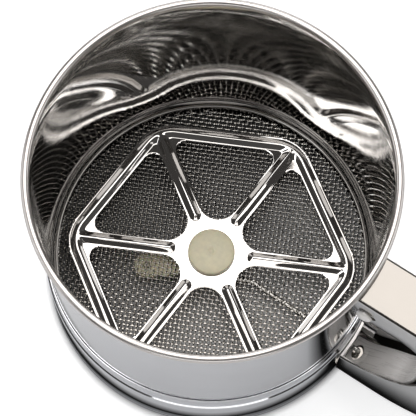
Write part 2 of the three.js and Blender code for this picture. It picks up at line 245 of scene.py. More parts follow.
def tube(path, radius, sides):
    """Round wire along a path, with domed ends."""
    along = directions(path)
    dome = np.radians([0, 25, 50, 75])  # places of a dome's rings, from its tip
    start = path[0] - np.outer(np.cos(dome), along[0]) * radius
    end = path[-1] + np.outer(np.cos(dome[::-1]), along[-1]) * radius
    narrowest = 0.02  # share of the radius that a tip keeps
    tips = np.maximum(np.sin(dome), narrowest) * radius
    radii = np.concatenate([tips, np.full(len(path), radius), tips[::-1]])
    path = np.vstack([start, path, end])
    count = len(dome)
    along = np.vstack([np.tile(along[0], (count, 1)), along, np.tile(along[-1], (count, 1))])
    angles = 2 * math.pi * np.arange(sides) / sides
    side = np.cross(along[0], (0.31, 0.17, 0.93))  # any direction beside the wire's own
    rings = []
    for centre, direction, size in zip(path, along, radii):
        side = side - direction * side.dot(direction)
        side /= np.linalg.norm(side)
        other = np.cross(direction, side)
        rings.append(centre + size * (np.outer(np.cos(angles), side) + np.outer(np.sin(angles), other)))
    return skinned(rings)


def bent_path(corners, bend, steps):
    """A polyline whose corners are rounded off over a length of bend on each side."""
    corners = [np.array(c, float) for c in corners]
    path = [corners[0]]
    for before, corner, after in zip(corners, corners[1:-1], corners[2:]):
        reach_in = min(0.5, bend / np.linalg.norm(before - corner))
        reach_out = min(0.5, bend / np.linalg.norm(after - corner))
        start = corner + (before - corner) * reach_in
        end = corner + (after - corner) * reach_out
        for t in np.linspace(0, 1, steps + 1):
            path.append((1 - t) ** 2 * start + 2 * t * (1 - t) * corner + t * t * end)
    path.append(corners[-1])
    return np.array(path)


def filled(path, step):
    """The same polyline with points no further apart than step."""
    dense = [path[0]]
    for start, end in zip(path, path[1:]):
        count = max(1, math.ceil(np.linalg.norm(end - start) / step))
        for i in range(1, count + 1):
            dense.append(start + (end - start) * i / count)
    return np.array(dense)


def spun(points, degrees):
    """Points or directions turned around the cup's axis."""
    cosine, sine = math.cos(math.radians(degrees)), math.sin(math.radians(degrees))
    return points @ np.array([[cosine, sine, 0], [-sine, cosine, 0], [0, 0, 1]])


# ---- Materials ----
def new_material(name):
    """A material, its node tree and its shader."""
    material = bpy.data.materials.new(name)
    material.use_nodes = True
    tree = material.node_tree
    return material, tree, tree.nodes["Principled BSDF"]


def noise(tree, scale, detail, stretch=(1, 1, 1)):
    """A noise texture in object space, stretched per axis; scale is in features per metre."""
    place = tree.nodes.new("ShaderNodeTexCoord")
    mapping = tree.nodes.new("ShaderNodeMapping")
    mapping.inputs["Scale"].default_value = stretch
    texture = tree.nodes.new("ShaderNodeTexNoise")
    texture.inputs["Scale"].default_value = scale
    texture.inputs["Detail"].default_value = detail
    texture.inputs["Roughness"].default_value = 0.55
    tree.links.new(place.outputs["Object"], mapping.inputs["Vector"])
    tree.links.new(mapping.outputs["Vector"], texture.inputs["Vector"])
    return texture.outputs["Fac"]


def spread(tree, value, low, high, start=0.3, end=0.7):
    """Maps start..end of a node value, a texture's middle range, onto low..high."""
    mapped = tree.nodes.new("ShaderNodeMapRange")
    mapped.inputs["From Min"].default_value = start
    mapped.inputs["From Max"].default_value = end
    mapped.inputs["To Min"].default_value = low
    mapped.inputs["To Max"].default_value = high
    tree.links.new(value, mapped.inputs["Value"])
    return mapped.outputs["Result"]


def tinted(tree, value, dark, light):
    """A colour between dark and light, chosen by a value from 0 to 1."""
    mixed = tree.nodes.new("ShaderNodeMix")
    mixed.data_type = "RGBA"
    mixed.inputs["A"].default_value = (*dark, 1)
    mixed.inputs["B"].default_value = (*light, 1)
    tree.links.new(value, mixed.inputs["Factor"])
    return mixed.outputs["Result"]


def mottled(tree, shader, texture, colour, darkest):
    """Lets a texture darken a colour by up to a share of it."""
    dark = tuple(c * darkest for c in colour)
    shade = tinted(tree, spread(tree, texture, 0, 1), dark, colour)
    tree.links.new(shade, shader.inputs["Base Color"])


def bumped(tree, shader, *layers):
    """Adds bump layers, each (texture value, depth in millimetres), one over the other."""
    normal = None
    for value, depth in layers:
        bump = tree.nodes.new("ShaderNodeBump")
        bump.inputs["Strength"].default_value = 1.0
        bump.inputs["Distance"].default_value = depth * MM
        tree.links.new(value, bump.inputs["Height"])
        if normal is not None:
            tree.links.new(normal, bump.inputs["Normal"])
        normal = bump.outputs["Normal"]
    tree.links.new(normal, shader.inputs["Normal"])


def steel(name, colour, roughness, grain, stretch, depth, ripple=0.0, metallic=1.0):
    """Steel with slow blotches in its colour, a directional grain in its roughness and bump, and a
    faint ripple; grain is in features per metre along the streaks, depth and ripple are in
    millimetres."""
    blotches, ripples = 60, 110  # features per metre
    material, tree, shader = new_material(name)
    shader.inputs["Metallic"].default_value = metallic
    mottled(tree, shader, noise(tree, blotches, 3.0), colour, 0.95)
    streaks = noise(tree, grain, 3.0, stretch)
    tree.links.new(spread(tree, streaks, *roughness), shader.inputs["Roughness"])
    layers = [(streaks, depth)]
    if ripple:
        layers.append((noise(tree, ripples, 1.0), ripple))
    bumped(tree, shader, *layers)
    return material


def nylon(name, colour):
    """Moulded nylon: mottled, a little translucent, with a fine moulded grain."""
    specks, grain = 500, 2500  # features per metre
    grain_depth = 0.01
    material, tree, shader = new_material(name)
    mottle = noise(tree, specks, 5.0)
    mottled(tree, shader, mottle, colour, 0.86)
    tree.links.new(spread(tree, mottle, 0.3, 0.45), shader.inputs["Roughness"])
    shader.inputs["Subsurface Weight"].default_value = 0.12
    shader.inputs["Subsurface Scale"].default_value = 1.5 * MM
    shader.inputs["IOR"].default_value = 1.5
    bumped(tree, shader, (noise(tree, grain, 2.0), grain_depth))
    return material


# How much finer a grain is along each axis than along its streaks.
AROUND_CUP = (1, 1, 60)
ALONG_BAND = (1, 30, 1)
ALONG_SIDE = (1, 1, 30)
ALONG_STRAP = (1, 20, 1)
EVEN = (1, 1, 1)

inside_steel = steel(
    "cup_polished",
    colour=(0.71, 0.695, 0.68),
    roughness=(0.012, 0.035),
    grain=45,
    stretch=AROUND_CUP,
    depth=0.005,
    ripple=0.012,
)
outside_steel = steel(
    "cup_satin",
    colour=(0.78, 0.79, 0.82),
    roughness=(0.05, 0.1),
    grain=60,
    stretch=AROUND_CUP,
    depth=0.002,
)
rim_steel = steel(
    "rim_rolled",
    colour=(0.72, 0.685, 0.665),
    roughness=(0.25, 0.34),
    grain=60,
    stretch=AROUND_CUP,
    depth=0.003,
)
# Painted shade: the ledge's steel is made far darker than steel, so the ledge shows dark with thin
# bright lines.
ledge_steel = steel(
    "ledge_rolled_painted_shade",
    colour=(0.22, 0.215, 0.21),
    roughness=(0.03, 0.08),
    grain=45,
    stretch=AROUND_CUP,
    depth=0.002,
)
wheel_steel = steel(
    "wheel_polished",
    colour=(0.80, 0.785, 0.77),
    roughness=(0.02, 0.05),
    grain=300,
    stretch=EVEN,
    depth=0.002,
    ripple=0.006,
)
# Painted shade by facing: the handle is one steel, but the band's copy is made much darker than the
# sides' copy; only the grain's direction differs for real.
handle_steel = steel(
    "handle_polished",
    colour=(0.332, 0.314, 0.293),
    roughness=(0.06, 0.13),
    grain=90,
    stretch=ALONG_BAND,
    depth=0.003,
    ripple=0.01,
)
side_steel = steel(
    "handle_side",
    colour=(0.6, 0.6, 0.6),
    roughness=(0.08, 0.16),
    grain=90,
    stretch=ALONG_SIDE,
    depth=0.003,
    ripple=0.01,
)
# Painted light: the trigger, its cheeks and the pin are near-white, mostly non-metallic steel, which
# keeps them bright where the handle's arm shades them; the satin roughness is real.
trigger_steel = steel(
    "trigger_satin_painted_light",
    colour=(0.97, 0.945, 0.92),
    roughness=(0.22, 0.4),
    grain=120,
    stretch=ALONG_STRAP,
    depth=0.002,
    ripple=0.02,
    metallic=0.15,
)
wire_steel = steel(
    "wire_drawn",
    colour=(0.72, 0.71, 0.68),
    roughness=(0.16, 0.3),
    grain=900,
    stretch=EVEN,
    depth=0.006,
)
cloth_steel = steel(
    "cloth_drawn",
    colour=(0.72, 0.7, 0.67),
    roughness=(0.05, 0.12),
    grain=900,
    stretch=EVEN,
    depth=0.003,
)
plain_steel = steel(
    "plain_drawn",
    colour=(0.62, 0.61, 0.6),
    roughness=(0.28, 0.42),
    grain=500,
    stretch=EVEN,
    depth=0.008,
)
cream_nylon = nylon("cream_nylon", colour=(0.82, 0.77, 0.56))


# ---- Cup ----
def cup():
    """A straight tube with a curled rim and a hem turned in at the bottom."""
    bead_height = RIM_TOP - RIM_BEAD
    hem, corner = 1.6, 0.25
    wall_start = CUP_BOTTOM + 2
    outer_end, inner_end = bead_height - 1.3, bead_height - 0.4  # of the wall, under the bead
    rows = 12  # points up the wall, which keep the smooth shading of its two ends near them
    outline = [
        (CUP_INNER - hem, CUP_BOTTOM),
        *arc(CUP_OUTER - corner, CUP_BOTTOM + corner, corner, -90, 0, 4),
        *[(CUP_OUTER, z) for z in np.linspace(wall_start, outer_end, rows)],
        *arc(RIM_CENTRE, bead_height, RIM_BEAD, -125, 150, 32),
        *[(CUP_INNER, z) for z in np.linspace(inner_end, wall_start, rows)],
        (CUP_INNER, CUP_BOTTOM + SHEET),
        (CUP_INNER - hem, CUP_BOTTOM + SHEET),
    ]
    piece = add_piece("cup_shell", turned(outline), "cup", inside_steel, "cup_body")
    piece.data.materials.append(outside_steel)
    piece.data.materials.append(rim_steel)
    wall_middle = (CUP_INNER + CUP_OUTER) / 2 * MM
    rim_start = (bead_height - 0.9) * MM
    for polygon in piece.data.polygons:
        centre = polygon.center - Vector(AXIS)
        if centre.z > rim_start:
            polygon.material_index = 2
        elif centre.xy.length > wall_middle:
            polygon.material_index = 1


def base_ring():
    """The sleeve, shoulder, skirt and rolled foot, slotted for the link wire."""
    sleeve = CUP_OUTER + PLAY
    skirt = sleeve + SHOULDER_STEP
    fold = SHOULDER_TOP - SHOULDER_STEP
    edge = 0.12
    sleeve_bend, skirt_bend = 0.5, 0.7
    foot_start, curl_end = 6.0, 4.0  # where the skirt turns into the foot, and the foot's inner end
    outline = [
        (skirt, fold),
        (sleeve, SHOULDER_TOP),
        (sleeve, SLEEVE_TOP - edge),
        *arc(sleeve + edge, SLEEVE_TOP - edge, edge, 180, 90, 4),
        *arc(sleeve + SHEET - edge, SLEEVE_TOP - edge, edge, 90, 0, 4),
        *arc(sleeve + SHEET + sleeve_bend, SHOULDER_TOP + 0.2, sleeve_bend, 180, 225, 5),
        *arc(skirt + SHEET - skirt_bend, fold - 0.2, skirt_bend, 45, 0, 5),
        (skirt + SHEET, foot_start),
        *arc(FOOT_OUTER - FOOT_BEAD + 0.02, FOOT_BEAD, FOOT_BEAD, 42, -252, 32),
        (skirt - 0.35, curl_end),
    ]
    piece = add_piece("foot_ring", turned(outline), "cup", outside_steel, "base_ring")
    half, low, high, corner = 3.2, 2.9, 5.5, 0.6  # of the slot: half width, heights, corner radius
    mouth = [
        *arc(half - corner, high - corner, corner, 0, 90, 5),
        *arc(corner - half, high - corner, corner, 90, 180, 5),
        *arc(corner - half, low + corner, corner, 180, 270, 5),
        *arc(half - corner, low + corner, corner, 270, 360, 5),
    ]
    cut_away(piece, prism(mouth, skirt - 3, skirt + 3, "x"))


def clamp_ring():
    """The ledge that holds the wire cloth, with a bead along its inner edge."""
    low = CUP_BOTTOM + SHEET + PLAY
    outer = CUP_INNER - PLAY
    bead, edge = 0.4, 0.1
    outline = [
        (LEDGE_INNER, low),
        (outer, low),
        *arc(outer - edge, LEDGE_TOP - edge, edge, 0, 130, 6),
        *arc(LEDGE_INNER + 0.1, LEDGE_TOP - 1.65, bead, 40, 240, 20),
        (LEDGE_INNER, SIEVE_HIGH + 0.2),
    ]
    ring = turned(outline)
    add_piece("sieve_ledge", ring, "cup", ledge_steel, "sieve_clamp_ring")


# ---- Sieve ----
def wire_runs(offset, reach):
    """Where one wire of the cloth starts and ends: beside the hole in two runs, or right across."""
    half = math.sqrt(max(reach**2 - offset**2, 0))
    gap = math.sqrt(max(CLOTH_HOLE**2 - offset**2, 0))
    return [(-half, half)] if gap == 0 else [(-half, -gap), (gap, half)]


def wire_rings(start, end, index, crossing):
    """Rings around one wire of a plain weave, along X, or along Y if it is a crossing one."""
    per_pitch = 6  # rings from one crossing to the next
    swing, flatness = 1.1 * WIRE_RADIUS, 1.7  # height of the wave, and how flat its tops are
    steps = max(2, round((end - start) / WIRE_PITCH * per_pitch))
    along = np.linspace(start, end, steps + 1)[:, None]
    wave = (-1) ** index * np.cos(math.pi * along / WIRE_PITCH)
    lift = swing * np.tanh(flatness * wave) / math.tanh(flatness)
    angles = 2 * math.pi * np.arange(WIRE_SIDES) / WIRE_SIDES
    across = index * WIRE_PITCH + WIRE_RADIUS * np.cos(angles)
    height = (-lift if crossing else lift) + WIRE_RADIUS * np.sin(angles)
    x, y = (across, along) if crossing else (along, across)
    return np.stack(np.broadcast_arrays(x, y, height + (SIEVE_LOW + SIEVE_HIGH) / 2), axis=-1)


def sieve():
    """Plain-woven wire cloth between the clamp ring and the hub."""
    reach = LEDGE_INNER + 0.5
    first_wire = 25  # degrees from the handle
    count = int(reach / WIRE_PITCH)
    wires, faces = [], []
    made = 0
    for crossing in (False, True):
        for index in range(-count, count + 1):
            for start, end in wire_runs(index * WIRE_PITCH, reach):
                wire, wire_faces = skinned(wire_rings(start, end, index, crossing))
                wires.append(wire)
                faces += [[corner + made for corner in face] for face in wire_faces]
                made += len(wire)
    cloth = spun(np.vstack(wires), first_wire), faces
    add_piece("wire_cloth", cloth, "cup", cloth_steel, "sieve_mesh")


# ---- Agitator wheel ----
def folded(x, y, middle):
    """Distances along and across the nearest of six directions, one of which is at middle."""
    angle = (np.arctan2(y, x) - middle + SIXTH / 2) % SIXTH - SIXTH / 2
    distance = np.hypot(x, y)
    return distance * np.cos(angle), distance * np.sin(angle)


def hexagon_depth(x, y):
    """Distance outside the wheel's rounded hexagon; negative inside."""
    out, across = folded(x, y, SIXTH / 2)
    inner = WHEEL_APOTHEM - WHEEL_CORNER
    beyond = np.maximum(np.abs(across) - inner * math.tan(SIXTH / 2), 0)
    edge = np.where(beyond > 0, np.hypot(out - inner, beyond), out - inner)
    return np.where(out < inner, out - inner, edge) - WHEEL_CORNER


def window_depth(x, y):
    """Distance outside the nearest opening between two spokes; negative inside the opening."""
    half = SIXTH / 2
    nose, corner, edge = 6.3, 3.2, WHEEL_BAND / 2  # radii of the opening's corners, half a spoke
    out, across = folded(x, y, half)
    across = np.abs(across)
    cosine, sine = math.cos(half), math.sin(half)  # of the opening's straight side

    past_nose = out - (nose + edge) / sine
    beside_nose = past_nose * cosine + across * sine > 0
    to_side = across * cosine - past_nose * sine
    nose_depth = np.where(beside_nose, to_side, np.hypot(past_nose, across)) - nose

    far = WHEEL_APOTHEM - WHEEL_BAND - corner
    dx = out - far
    dy = across - (far * math.tan(half) - (edge + corner) / cosine)
    in_corner = (dy > 0) & (dx * cosine + dy * sine > 0)
    flat = np.maximum(dx, dy * cosine - dx * sine)
    corner_depth = np.where(in_corner, np.hypot(dx, dy), flat) - corner
    return np.maximum(nose_depth, corner_depth)


def soft_least(a, b, reach):
    """The smaller of two distances, blended where they are within reach of each other."""
    closeness = np.maximum(reach - np.abs(a - b), 0)
    return np.maximum(np.minimum(a, b) - closeness**2 / (4 * reach), 0)


def gable(share):
    """Height of a rib, 1 on its crest and 0 at its foot, with a narrow rounded crest."""
    crest, foot = 0.2, 0.04
    fall = (np.sqrt(share**2 + crest**2) - crest) / (math.sqrt(1 + crest**2) - crest)
    left = 1 - fall
    return (left + np.sqrt(left**2 + foot**2)) / 2


def wheel_height(x, y):
    """Height of the pressed sheet's top above the sheet's flat."""
    rib = 0.85
    crest, lip = 2.45, 0.5  # from the outer edge to the rim's crest, and flat beside each rib
    spoke_start = 13.0  # from the axis
    blend, fade = 0.9, 3  # how softly spokes join the rim, and how fast they end on it
    rolled_edge, rolled_depth = 0.2, 0.1
    inward = -hexagon_depth(x, y)
    outer_run, inner_run = crest - lip, WHEEL_BAND - lip - crest
    rim = np.where(inward < crest, (crest - inward) / outer_run, (inward - crest) / inner_run)
    out, across = folded(x, y, 0)
    spoke = np.where(out < spoke_start, np.hypot(out - spoke_start, across), np.abs(across))
    spoke = spoke / (WHEEL_BAND / 2 - lip) + np.maximum(crest - inward, 0) * fade
    raised = gable(soft_least(rim, spoke, blend))
    edge = np.clip(1 - np.minimum(inward, window_depth(x, y)) / rolled_edge, 0, 1)
    return rib * raised - rolled_depth * edge**2


def wheel_normals(x, y):
    """Unit normals of the wheel's top, from the slope over a short step."""
    step = 0.05
    slope_x = (wheel_height(x + step, y) - wheel_height(x - step, y)) / (2 * step)
    slope_y = (wheel_height(x, y + step) - wheel_height(x, y - step)) / (2 * step)
    normals = np.stack([-slope_x, -slope_y, np.ones_like(x)], -1)
    return normals / np.linalg.norm(normals, axis=1)[:, None]


def wheel_plan(x, y):
    """Distance outside the wheel's sheet as seen from above; negative on the sheet."""
    bore = WHEEL_BORE - np.hypot(x, y)
    return np.maximum.reduce([hexagon_depth(x, y), -window_depth(x, y), bore])


def lattice(reach, step):
    """A triangular lattice whose rows run along the wheel's spokes and sides."""
    row_step = step * math.sqrt(3) / 2
    rows = int(reach / row_step) + 1
    columns = int(reach / step) + 2
    i, j = np.meshgrid(np.arange(-rows, rows + 1), np.arange(-columns, columns + 1), indexing="ij")
    x = (j + 0.5 * (i % 2)) * step
    y = i * row_step
    index = np.arange(i.size).reshape(i.shape)
    a, b = index[:-1, :-1], index[:-1, 1:]
    c, d = index[1:, :-1], index[1:, 1:]
    even = (i[:-1, :-1] % 2 == 0)[..., None]
    first = np.where(even, np.stack([a, b, c], -1), np.stack([a, b, d], -1))
    second = np.where(even, np.stack([b, d, c], -1), np.stack([a, d, c], -1))
    triangles = np.vstack([first.reshape(-1, 3), second.reshape(-1, 3)])
    return np.stack([x.ravel(), y.ravel()], -1), triangles


def clipped(points, triangles, depth_of):
    """The part of a flat triangle mesh where depth_of is negative, with its edge points on zero."""
    depth = depth_of(points[:, 0], points[:, 1])
    snap = 0.06  # points this close to the edge count as on it
    depth = np.where(np.abs(depth) < snap, 0.0, depth)
    inside = depth <= 0
    count = inside[triangles].sum(1)
    wholly_on = (depth[triangles] == 0).all(1)
    kept = [tuple(t) for t in triangles[(count == 3) & ~wholly_on]]
    extra, made = [], {}

    def crossing(a, b):
        key = (min(a, b), max(a, b))
        if key not in made:
            low, high = points[key[0]], points[key[1]]
            share = depth[key[0]] / (depth[key[0]] - depth[key[1]])
            made[key] = len(points) + len(extra)
            extra.append(low + (high - low) * share)
        return made[key]

    for triangle in triangles[(count > 0) & (count < 3)]:
        polygon = []
        for a, b in zip(triangle, np.roll(triangle, -1)):
            if inside[a]:
                polygon.append(int(a))
            if depth[a] * depth[b] < 0:
                polygon.append(crossing(int(a), int(b)))
        if len(polygon) >= 3 and any(depth[p] < 0 for p in polygon if p < len(points)):
            kept.append(tuple(polygon))
    every = np.vstack([points, np.array(extra).reshape(-1, 2)])
    used = sorted({p for face in kept for p in face})
    renumber = {old: new for new, old in enumerate(used)}
    return every[used], [tuple(renumber[p] for p in face) for face in kept]


def open_edges(faces):
    """The directed edges that only one face has."""
    edges = dict.fromkeys(edge for face in faces for edge in zip(face, face[1:] + face[:1]))
    return [(a, b) for a, b in edges if (b, a) not in edges]


def wheel():
    """The pressed wheel: a heightfield over its plan, thickened into a closed sheet."""
    lattice_step = 0.28
    sheet, flat_top = 0.5, WHEEL_LOW + 0.6
    first_spoke = 26  # degrees from the handle
    reach = WHEEL_APOTHEM / math.cos(SIXTH / 2)
    flat, faces = clipped(*lattice(reach, lattice_step), wheel_plan)
    x, y = flat.T
    top = flat_top + wheel_height(x, y)
    upper = np.stack([x, y, top], -1)
    lower = np.stack([x, y, np.maximum(top - sheet, WHEEL_LOW)], -1)
    normals = wheel_normals(x, y)
    count = len(flat)
    under = [tuple(count + p for p in reversed(face)) for face in faces]
    walls = [(b, a, count + a, count + b) for a, b in open_edges(faces)]
    add_piece(
        "pressed_wheel",
        (spun(np.vstack([upper, lower]), first_spoke), faces + under + walls),
        "agitator",
        wheel_steel,
        "agitator_wheel",
        normals=spun(np.vstack([normals, -normals]), first_spoke).tolist(),
    )


def cap():
    """The hub's cap: a shallow dome with a moulding mark in its middle."""
    low, high = box_mm("hub_cap")
    radius, bottom, top = high[0], low[2], high[2]
    hollow, ceiling = 2.1, bottom + 1.2  # room for the spindle's end
    wall = bottom + 1.6
    foot_edge, top_edge = 0.3, 0.6
    bore = 2 * HAIR
    dome_run = np.linspace(6, 1.3, 8)  # radii from the edge to the mark
    dome = [(r, wall + (top - wall) * (1 - (r / radius) ** 2)) for r in dome_run]
    mark = [(1.15, top - 0.1), (0.9, top - 0.12), (0.75, top - 0.02)]  # a ring-shaped groove
    outline = [
        (bore, ceiling),
        (hollow, ceiling),
        (hollow, bottom),
        *arc(radius - foot_edge, bottom + foot_edge, foot_edge, -90, 0, 4),
        *arc(radius - top_edge, wall - top_edge, top_edge, 0, 80, 8),
        *dome,
        *mark,
        (bore, top),
    ]
    shape = turned(outline, facets=96)
    add_piece("domed_cap", shape, "agitator", cream_nylon, "hub_cap")


# ---- Link ----
def link():
    """The bent wire between the crank's boss and the trigger's foot."""
    low, high = box_mm("link_wire")
    radius = 0.8
    boss_x, boss_y, level = joint_mm("link_swing")
    knee_x, knee_y = 14.5, 0.6
    rise = 1.4  # beyond the foot
    hook_x, hook_level = high[0] - radius, 5.6
    corners = [
        (boss_x, boss_y, high[2]),
        (boss_x, boss_y, level),
        (knee_x, knee_y, level),
        (FOOT_OUTER, 0, level),
        (FOOT_OUTER + rise, 0, hook_level),
        (hook_x, 0, hook_level),
        (hook_x, 0, low[2]),
    ]
    path = filled(bent_path(corners, bend=1.6, steps=10), step=1.0)
    shape = tube(path, radius, sides=24)
    add_piece("bent_link", shape, "link", wire_steel, "link_wire")


# ---- Handle ----
def loop_stations(top, bottom, right, top_radius, bottom_radius, knee):
    """Points and inward directions along one edge of the handle's loop, from rim to foot; beyond
    the knee the points are evenly spaced towards the cup."""
    straight, bend = 8, 20  # points on a straight and on a bend
    points, inward = [], []

    def put(x, z, angle):
        points.append((x, z))
        inward.append((-math.cos(angle), -math.sin(angle)))

    def put_bend(x, z, radius, start, end):
        for angle in np.linspace(start, end, bend):
            put(x + radius * math.cos(angle), z + radius * math.sin(angle), angle)

    for x in np.linspace(HANDLE_START, right - top_radius, straight)[:-1]:
        put(x, top, math.pi / 2)
    put_bend(right - top_radius, top - top_radius, top_radius, math.pi / 2, 0)
    for z in np.linspace(top - top_radius, bottom + bottom_radius, straight)[1:-1]:
        put(right, z, 0)
    centre_x, centre_z = right - bottom_radius, bottom + bottom_radius
    knee_angle = -math.acos((knee - centre_x) / bottom_radius)
    put_bend(centre_x, centre_z, bottom_radius, 0, knee_angle)
    for x in np.linspace(knee, HANDLE_START, straight)[1:]:
        drop = math.sqrt(bottom_radius**2 - max(x - centre_x, 0) ** 2)
        put(x, centre_z - drop, -math.pi / 2)
    return np.array(points), np.array(inward)


def channel_section(depth):
    """The channel's closed cross-section as (distance in from the back, y) points."""
    bend, sheet, half = 1.0, HANDLE_SHEET, HANDLE_HALF
    lip = sheet / 2 - 0.05  # radius of the rounded edge
    outer = [
        *[(depth - lip + a, b) for a, b in arc(0, half - sheet / 2, lip, 0, 90, 4)],
        (depth * 0.5, half),
        *arc(bend, half - bend, bend, 90, 180, 8),
    ]
    inner = [
        *arc(bend, half - bend, bend - sheet, 180, 90, 6),
        (depth * 0.5, half - sheet),
        *[(depth - lip + a, b) for a, b in arc(0, half - sheet / 2, lip, -90, -20, 4)],
    ]
    far_outer = [(a, -b) for a, b in reversed(outer)]
    far_inner = [(a, -b) for a, b in reversed(inner)]
    return outer + far_outer + far_inner + inner


def channel():
    """The loop's channel: deep where its two edges are far apart, square to its back close to it."""
    back, inward = loop_stations(
        top=HANDLE_HIGH[2],
        bottom=HANDLE_LOW[2],
        right=HANDLE_HIGH[0],
        top_radius=20,
        bottom_radius=28,
        knee=64,
    )
    lip, _ = loop_stations(
        top=71.2, bottom=15, right=75.5, top_radius=12, bottom_radius=30.1, knee=60
    )
    square = 2.0  # within this depth the section stays square to the back
    rings = []
    for point, direction, edge in zip(back, inward, lip):
        depth = np.linalg.norm(edge - point)
        turn = point + direction * square
        ring = []
        for into, y in channel_section(depth):
            if into <= square:
                x, z = point + direction * into
            else:
                x, z = turn + (edge - turn) * ((into - square) / (depth - square))
            ring.append((x, y, z))
        rings.append(ring)
    return skinned(rings)


def cylinder(radius, low, high):
    """A cylinder around the cup's axis, solid but for a hair's bore."""
    return turned([(HAIR, low), (radius, low), (radius, high), (HAIR, high)], facets=128)


def handle():
    """The channel bent into a loop, trimmed around the cup, with a slot for the pivot pin."""
    piece = add_piece("channel_handle", channel(), "cup", handle_steel, "handle")
    piece.data.materials.append(side_steel)
    # The sideways faces get the lighter copy of the handle's steel, so shade is painted by facing.
    for polygon in piece.data.polygons:
        if abs(polygon.normal.y) > 0.8:  # faces sideways
            polygon.material_index = 1
    run = 1.4  # between the centres of the slot's round ends
    slot = [
        *arc(PIVOT_X, PIVOT_Z, PIVOT_BORE, 90, 270, 12),
        *arc(PIVOT_X + run, PIVOT_Z, PIVOT_BORE, -90, 90, 12),
    ]
    cut_away(piece, prism(slot, -HANDLE_HALF - 1, HANDLE_HALF + 1, "y"))
    cut_away(piece, cylinder(CUP_OUTER + GAP, SLEEVE_TOP, RIM_TOP + 2))
    cut_away(piece, cylinder(FOOT_OUTER + GAP, -1, SLEEVE_TOP + GAP))


# ---- Trigger ----
def strap_section():
    """The strap's closed cross-section as (height above the middle, y) points."""
    half, thick = TRIGGER_HALF, TRIGGER_SHEET / 2
    ease = 0.3
    quarter = [
        *arc(thick - ease, half - ease, ease, 0, 90, 4),
        *arc(ease - thick, half - ease, ease, 90, 180, 4),
    ]
    across = np.linspace(half - ease, ease - half, 13)[1:-1]  # fine enough for the dimple
    under = [(-thick, y) for y in across]
    over = [(thick, y) for y in reversed(across)]
    return quarter + under + [(a, -b) for a, b in reversed(quarter)] + over


def strap():
    """The strap along its bends, with a dimple of rings in its foot around the link's hook."""
    corners = [
        (58, TRIGGER_ARM),
        (TRIGGER_GRIP, TRIGGER_ARM),
        (TRIGGER_GRIP, 30),
        (70.8, 19.5),
        (65.3, 14.6),
        (55.8, 3.1),
        (51.5, 2.2),
    ]
    foot_top = 16  # only the foot is dimpled
    depth, ring, fade = 0.12, 1.9, 5.5  # of the dimple: height, ring spacing and reach
    path = filled(bent_path(corners, bend=4, steps=8), step=0.6)
    along = directions(path)
    up = np.stack([-along[:, 1], along[:, 0]], -1)
    rings = []
    for point, direction in zip(path, up):
        section = []
        for lift, y in strap_section():
            x, z = point + direction * lift
            if z < foot_top:
                away = math.hypot(x - HOOK_X, z - HOOK_Z, y)
                ripple = depth * math.cos(away * 2 * math.pi / ring) * math.exp(-((away / fade) ** 2))
                x, z = point + direction * (lift + ripple)
            section.append((x, y, z))
        rings.append(section)
    return skinned(rings)


def trigger():
    """The bent strap with its oval hole for the link, and its two cheeks."""
    hole_x, hole_y = 1.6, 2.6  # half the hole's length along each axis
    under_foot, over_foot = 0.5, 6  # heights clear of the foot's plate around the hole
    thick, inset = 0.85, 0.02  # of a cheek
    piece = add_piece("strap_trigger", strap(), "trigger", trigger_steel, "trigger")
    angles = np.linspace(0, 2 * math.pi, 33)[:-1]
    hole = [(HOOK_X + hole_x * math.cos(a), hole_y * math.sin(a)) for a in angles]
    cut_away(piece, prism(hole, under_foot, over_foot, "z"))
    cheek("trigger_cheek_right", inset - TRIGGER_HALF, thick - TRIGGER_HALF)
    cheek("trigger_cheek_left", TRIGGER_HALF - thick, TRIGGER_HALF - inset)


def cheek(name, low, high):
    """One of the two plates beside the trigger's arm that turn on the pin."""
    eye = 2.5  # radius of the plate's end around the pin
    outline = [
        *arc(PIVOT_X, PIVOT_Z, eye, 90, 270, 20),
        (60, 73.4),
        (TRIGGER_GRIP, 58),
        (TRIGGER_GRIP, TRIGGER_ARM - 2),
        (TRIGGER_GRIP - 2, TRIGGER_ARM),
        (TRIGGER_GRIP - 4, TRIGGER_HIGH[2] - 0.01),
    ]
    plate = prism(outline, low, high, "y")
    piece = add_piece(name, plate, "trigger", trigger_steel)
    bore = arc(PIVOT_X, PIVOT_Z, PIVOT_BORE, 0, 360, 32)[:-1]
    cut_away(piece, prism(bore, low - 1, high + 1, "y"))
    bevel(piece, 0.12)


def pin():
    """The round-headed pivot pin, lying along Y."""
    face = HANDLE_HALF + GAP
    radius, chamfer, end = 1.5, 0.2, -face - 1.4
    head, head_edge, dome = 2.3, 0.15, 1.1
    dome_start = face + 2 * head_edge
    outline = [
        (HAIR, end),
        (radius - chamfer, end),
        (radius, end + chamfer),
        (radius, face),
        *arc(head - head_edge, face + head_edge, head_edge, -90, 0, 3),
    ]
    for angle in np.radians([80, 65, 50, 35, 20, 8]):
        outline.append((head * math.sin(angle), dome_start + dome * math.cos(angle)))
    outline.append((HAIR, dome_start + dome))
    points, faces = turned(outline, facets=64)
    lying = np.stack([points[:, 0] + PIVOT_X, -points[:, 2], points[:, 1] + PIVOT_Z], -1)
    add_piece("domed_pin", (lying, faces), "cup", trigger_steel, "pivot_pin")


